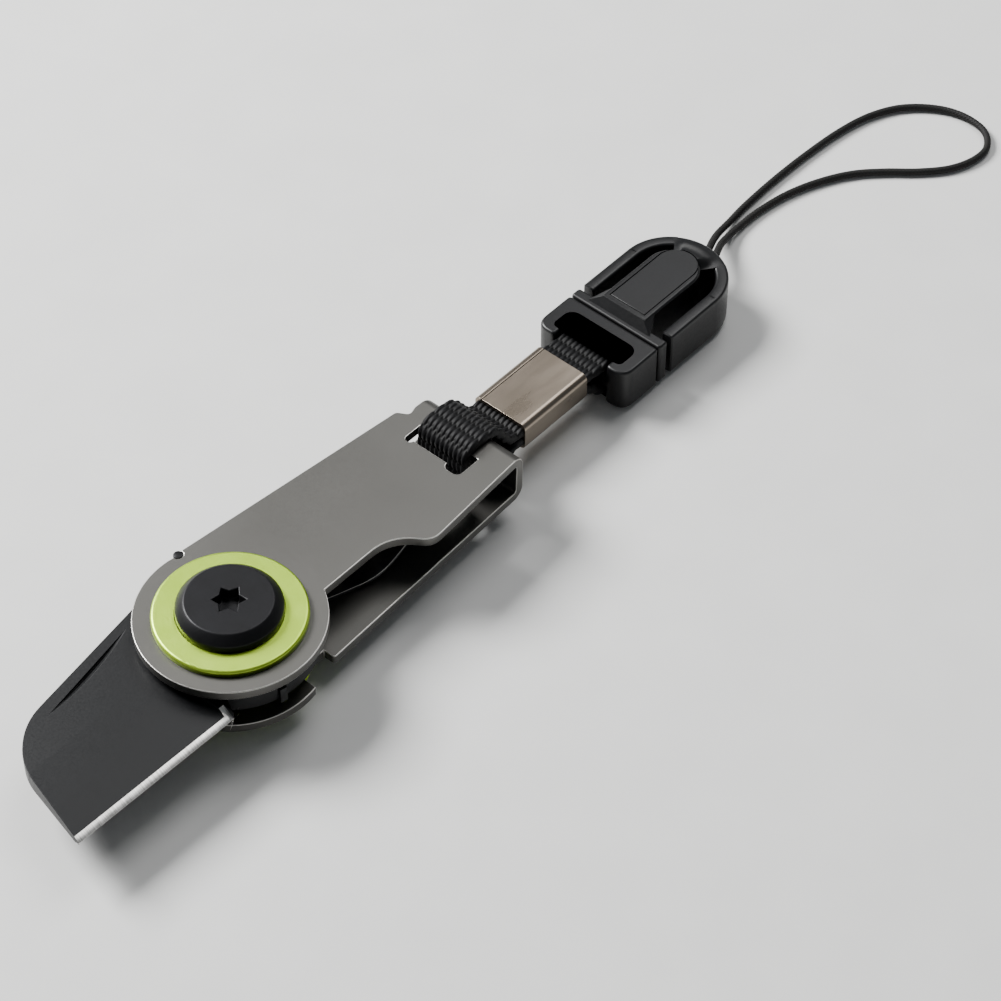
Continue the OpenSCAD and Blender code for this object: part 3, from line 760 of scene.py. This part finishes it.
def weave(path, name):
    """A closed band of webbing along path, with ribs on both faces."""
    mesh = bpy.data.meshes.new(name)
    count = len(path)
    ribs = max(1, round(count * step / rib_pitch))
    verts = []
    groove_shades = []
    for i, point in enumerate(path):
        along = (path[(i + 1) % count] - path[i - 1]).normalized()
        out = Vector((-along.y, along.x))
        phase = ribs * i / count
        for side in (1, -1):
            for k in range(across_count + 1):
                t = k / across_count
                flank = min(1.0, 3.2 * min(t, 1 - t) * web_w / web_t + 0.1)
                lean = 0.1 * math.sin(2 * math.pi * t * bumps_across)
                rib = abs(math.sin(math.pi * (phase + lean)))
                bump = abs(math.sin(math.pi * t * bumps_across))
                relief = rib ** 0.7 * (0.45 + 0.55 * bump ** 0.6)
                thick = thinnest + (1 - thinnest) * relief
                height = half_t * thick * math.sqrt(1 - (1 - flank) ** 2)
                p = point + out * side * height
                verts.append((p.x, web_y + web_w * (t - 0.5), p.y))
                # Painted shade for the grooves, following the weave's relief.
                groove_shades.append(groove_shade_base + groove_shade_swing * relief)
    ring = across_count + 1
    faces = []
    for i in range(count):
        a = 2 * ring * i
        b = 2 * ring * ((i + 1) % count)
        for k in range(across_count):
            faces.append((a + k, a + k + 1, b + k + 1, b + k))
            faces.append((a + ring + k, b + ring + k, b + ring + k + 1, a + ring + k + 1))
        faces.append((a, b, b + ring, a + ring))
        faces.append((a + ring - 1, a + 2 * ring - 1, b + 2 * ring - 1, b + ring - 1))
    mesh.from_pydata(verts, [], faces)
    store_groove_shade(mesh, groove_shades)
    shade_smooth(mesh)
    return new_piece(name, mesh)


web_path = even_points(round_corners(web_corners), step, closed=True)
webbing = weave(web_path, "webbing")
webbing.data.materials.append(strap_polyester)
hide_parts("webbing_anchor", "webbing_strap")
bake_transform(webbing)
print("webbing woven,", len(web_path), "rows")

# %% [markdown]
# ## The wrist cord
# The cord is thin braided polyester. It leaves the buckle's nose, drops to the surface, goes round
# in a long loop and comes back. The route is a short list of points with a smooth curve through
# them: how far along and across from the exit in millimetres, and what share of the exit's height
# is left. The braid is real shape: two families of strands spiral in opposite ways, and where they
# cross the wall swells into a small diamond.

# %% the cord's route
cord_d = 0.8 * MM
cord_exit = Vector((65.8, -0.1, 3.0)) * MM
cord_rest_z = cord_d / 2 + 0.1 * MM
cord_route = [
    (0, 0.5, 1), (2.8, 0.5, 1), (4.2, 0.9, 0.96), (5.6, 1.6, 0.8), (7.2, 2.4, 0.52),
    (9, 3.1, 0.24), (11.4, 3.6, 0.04), (14.6, 4, 0), (19.8, 4.2, 0), (25.4, 4.1, 0),
    (30.6, 3.7, 0), (34.8, 2.8, 0), (38.2, 1, 0), (40.6, -1.9, 0), (41.5, -4.9, 0),
    (41, -7.9, 0), (39, -9.7, 0), (36.4, -9.8, 0), (33.6, -8.7, 0), (31, -6.5, 0),
    (28.6, -3.8, 0), (26, -1.4, 0), (22.6, 0.5, 0), (18.8, 1.8, 0), (14.8, 2.4, 0),
    (11.4, 2.4, 0.04), (9, 2, 0.24), (7.2, 1.4, 0.52), (5.6, 0.6, 0.8), (4.2, -0.1, 0.96),
    (2.8, -0.5, 1), (0, -0.5, 1)]


def route_point(i):
    """The route's point number i in the model's frame. Past either end it stays at the end."""
    x, y, share = cord_route[min(max(i, 0), len(cord_route) - 1)]
    z = cord_rest_z + (cord_exit.z - cord_rest_z) * share
    return Vector((cord_exit.x + x * MM, cord_exit.y + y * MM, z))


def spline(a, b, c, d, t):
    """The point a share t of the way from b to c, on a smooth curve that also heeds a and d."""
    return (b + (c - a) * t / 2 + (2 * a - 5 * b + 4 * c - d) * t * t / 2
            + (3 * b - a - 3 * c + d) * t * t * t / 2)


points_between = 8
cord_line = [spline(*(route_point(i + k) for k in (-1, 0, 1, 2)), t / points_between)
             for i in range(len(cord_route) - 1) for t in range(points_between)]
cord_line.append(route_point(len(cord_route) - 1))
cord_line = even_points(cord_line, 0.07 * MM)


# %% braid the cord
groove = 0.76


def braid(line, radius, name, strands=6, pitch=2.2 * MM, sides=36):
    """A tube along line whose wall is a braid."""
    verts = []
    groove_shades = []
    up = Vector((0, 0, 1))
    travelled = 0.0
    for i, point in enumerate(line):
        ahead = (line[min(i + 1, len(line) - 1)] - line[max(i - 1, 0)]).normalized()
        side = up.cross(ahead).normalized()
        over = ahead.cross(side)
        if i:
            travelled += (point - line[i - 1]).length
        turn = 2 * math.pi * travelled / pitch
        for k in range(sides):
            angle = 2 * math.pi * k / sides
            left = math.sin(strands / 2 * (angle + turn))
            right = math.sin(strands / 2 * (angle - turn))
            swell = math.sqrt(abs(left * right))
            r = radius * (groove + (1 - groove) * swell)
            verts.append(point + (side * math.cos(angle) + over * math.sin(angle)) * r)
            # Painted shade for the braid's grooves, following its swell.
            groove_shades.append(groove_shade_base + groove_shade_swing * swell)
    faces = []
    for i in range(len(line) - 1):
        for k in range(sides):
            m = (k + 1) % sides
            faces.append((i * sides + k, i * sides + m,
                          (i + 1) * sides + m, (i + 1) * sides + k))
    faces.append(tuple(reversed(range(sides))))
    last = (len(line) - 1) * sides
    faces.append(tuple(last + k for k in range(sides)))
    mesh = bpy.data.meshes.new(name)
    mesh.from_pydata([tuple(v) for v in verts], [], faces)
    store_groove_shade(mesh, groove_shades)
    shade_smooth(mesh)
    return new_piece(name, mesh)


cord = braid(cord_line, cord_d / 2, "braided_cord")
cord.data.materials.append(cord_polyester)
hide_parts("wrist_cord")
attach(cord, "buckle_cord_half")
print("cord braided")

# %% [markdown]
# ## Floor and light
# A plain pale floor shows the dark knife clearly. A large soft key light stands behind the knife,
# so that shadows fall towards the camera. A larger, weaker one, above and past its far end, lays
# a sheen on the flat tops.

# %% floor
floor_mesh = bpy.data.meshes.new("floor")
floor_size = 1.5
floor_mesh.from_pydata([(-floor_size, -floor_size, 0), (floor_size, -floor_size, 0),
                        (floor_size, floor_size, 0), (-floor_size, floor_size, 0)], [],
                       [(0, 1, 2, 3)])
floor = new_piece("floor", floor_mesh)
paper, paper_tree, paper_shader, paper_place = start_material("pale_paper", "#D8D8D6", 0.0, 0.75)
paper_cloud = add_node(paper_tree, "ShaderNodeTexNoise", None,
                       {"Vector": paper_place, "Scale": noise_scale(4.0), "Detail": 3})
two_tones(paper_tree, paper_shader, paper_cloud.outputs["Fac"], "#D6D6D4", "#DADAD8")
floor_mesh.materials.append(paper)
print("floor laid")


# %% lights
def soft_light(name, place_mm, size_mm, watts):
    """A square area light that looks at the knife's middle."""
    lamp = bpy.data.lights.new(name, "AREA")
    lamp.size = size_mm * MM
    lamp.energy = watts
    light = new_piece(name, lamp)
    light.location = Vector(place_mm) * MM
    aim = Vector(place_mm) * MM - looks_at
    light.rotation_euler = aim.to_track_quat("Z", "Y").to_euler()


soft_light("key", (-60, 420, 380), 240, 9.0)
soft_light("sheen card", (320, 60, 480), 300, 1.5)
world = bpy.data.worlds.new("studio")
world.use_nodes = True
background = world.node_tree.nodes["Background"]
background.inputs["Color"].default_value = hex_colour("#BFC3C8")
background.inputs["Strength"].default_value = 0.3
bpy.context.scene.world = world
print("lights up")

# %% [markdown]
# ## Close the file

# %% finish
print("finished")
